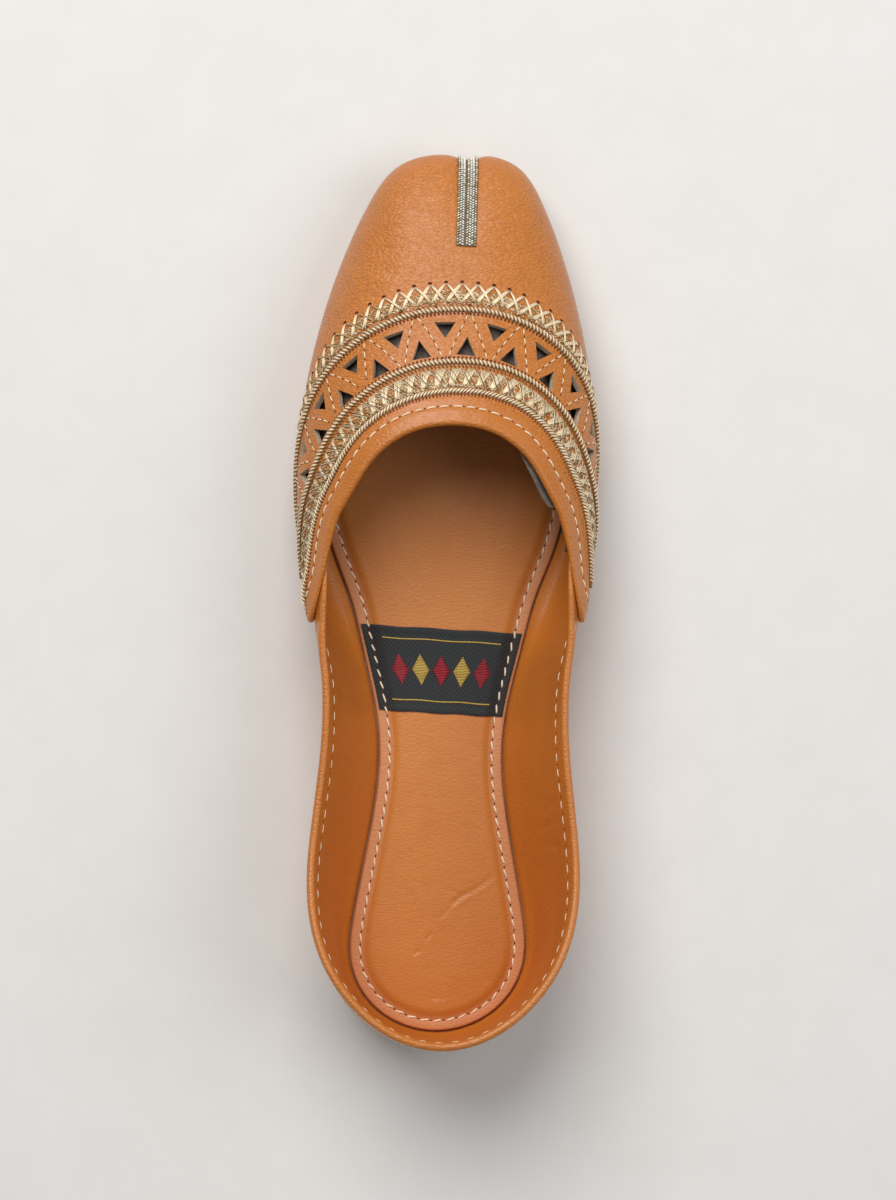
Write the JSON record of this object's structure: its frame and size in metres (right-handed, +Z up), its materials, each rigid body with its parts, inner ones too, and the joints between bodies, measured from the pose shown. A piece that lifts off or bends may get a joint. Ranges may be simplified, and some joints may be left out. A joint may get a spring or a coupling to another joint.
{
  "type": "khussa",
  "caption": "Flat leather slip-on shoe with a blunt low toe, openwork vamp, twisted cords, a braid on the toe, folded bindings and a padded insole.",
  "frame": {"origin": "on the floor under the middle of the shoe's bounding box", "axes": "+Z up from the floor, +Y from heel to toe along the shoe's length, +X towards the side that the toe leans to"},
  "size_m": [0.0878, 0.2525, 0.0554],
  "materials": {
    "tan_leather": "smooth tan leather with a fine grain and a soft sheen",
    "sole_leather": "matt hard sole leather",
    "insole_leather": "smooth tan lining leather over padding",
    "black_patch": "black twill weave, bare",
    "silver_braid": "flat braid of pale metallic thread",
    "gold_cord": "twisted cord of antique gold thread"
  },
  "bodies": {
    "root": {"upper": "tan_leather", "outsole": "sole_leather", "insole": "insole_leather", "insole_label": "black_patch", "toe_braid": "silver_braid", "cord_front": "gold_cord", "cord_middle": "gold_cord", "cord_rear": "gold_cord"}
  },
  "joints": []
}
